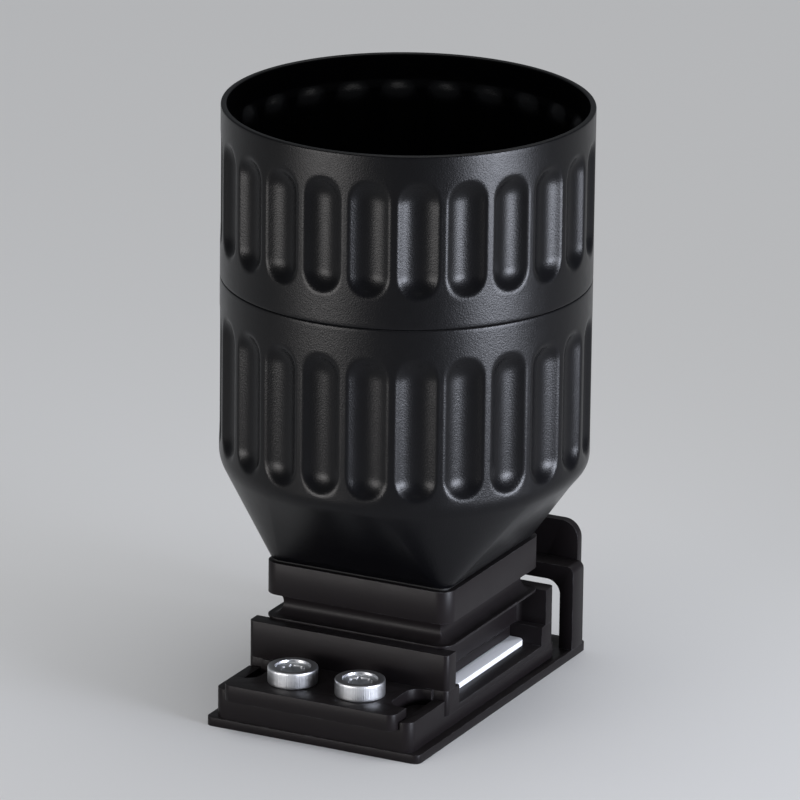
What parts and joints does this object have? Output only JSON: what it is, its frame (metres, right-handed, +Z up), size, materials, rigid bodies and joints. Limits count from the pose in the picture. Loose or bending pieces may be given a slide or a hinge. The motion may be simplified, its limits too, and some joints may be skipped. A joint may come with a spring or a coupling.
{
  "type": "film scanning hood",
  "caption": "Round fluted light hood with a funnel and square foot, standing on a slide holder that thumb screws hold to its base.",
  "frame": {"origin": "on the underside of the base flange, on the axis of the hood and the light path, at the centre of the four fixing holes", "axes": "+Z up along the hood's axis, -Y to the front with the tongue and its thumb screws, +X to the right where the slide goes in"},
  "size_m": [0.1, 0.106, 0.1645],
  "materials": {
    "hood_plastic": "satin moulded black",
    "holder_black": "black anodised, fine matte",
    "screw_black": "black oxide",
    "knob_metal": "knurled and turned bright",
    "steel": "plain",
    "rubber": "matte",
    "mount_white": "fine matte",
    "film": "glossy"
  },
  "bodies": {
    "base": {"base_flange": "holder_black", "base_block": "holder_black", "base_screws": "screw_black", "locating_dowels": "steel", "rear_bracket": "holder_black", "rear_baffle": "holder_black", "baffle_screws": "screw_black", "bracket_screws": "screw_black"},
    "holder": {"carrier": "holder_black", "gate_block": "holder_black", "gate_screws": "screw_black", "collar": "holder_black", "collar_screws": "screw_black", "foot_gasket": "rubber", "plate_screws": "steel", "pressure_springs": "steel"},
    "plate": {"pressure_plate": "holder_black"},
    "hood_lower": {"lower_hood": "hood_plastic", "hood_joint_ring": "rubber"},
    "hood_upper": {"upper_hood": "hood_plastic"},
    "slide": {"slide_mount_top": "mount_white", "slide_mount_base": "mount_white", "film_chip": "film"},
    "clip_left": {"retainer_clip_left": "steel"},
    "knob_left": {"thumb_screw_left": "knob_metal"},
    "clip_right": {"retainer_clip_right": "steel"},
    "knob_right": {"thumb_screw_right": "knob_metal"}
  },
  "joints": [
    {"name": "holder_lift", "type": "slide", "parent": "base", "child": "holder", "axis": [0, 0, 1], "range_m": [0, 0.03]},
    {"name": "plate_rise", "type": "slide", "parent": "holder", "child": "plate", "axis": [0, 0, 1], "range_m": [0, 0.0004], "stiffness_N_per_m": 1500, "springref_m": -0.001, "deforming": ["pressure_springs"]},
    {"name": "hood_lift", "type": "slide", "parent": "holder", "child": "hood_lower", "axis": [0, 0, 1], "range_m": [0, 0.03]},
    {"name": "upper_hood_lift", "type": "slide", "parent": "hood_lower", "child": "hood_upper", "axis": [0, 0, 1], "range_m": [0, 0.02]},
    {"name": "slide_pull", "type": "slide", "parent": "holder", "child": "slide", "axis": [1, 0, 0], "range_m": [0, 0.056]},
    {"name": "left_screw_rise", "type": "slide", "parent": "holder", "child": "clip_left", "axis": [0, 0, 1], "range_m": [0, 0.0032]},
    {"name": "left_screw_turn", "type": "hinge", "parent": "clip_left", "child": "knob_left", "pos_m": [-0.0101, -0.0449, 0.0134], "axis": [0, 0, 1], "range_deg": [0, 1440]},
    {"name": "right_screw_rise", "type": "slide", "parent": "holder", "child": "clip_right", "axis": [0, 0, 1], "range_m": [0, 0.0032]},
    {"name": "right_screw_turn", "type": "hinge", "parent": "clip_right", "child": "knob_right", "pos_m": [0.0101, -0.0449, 0.0134], "axis": [0, 0, 1], "range_deg": [0, 1440]}
  ],
  "couplings": [
    {"joint": "left_screw_turn", "follows": "left_screw_rise", "rad_per_m": 7853.9},
    {"joint": "right_screw_turn", "follows": "right_screw_rise", "rad_per_m": 7853.9}
  ]
}
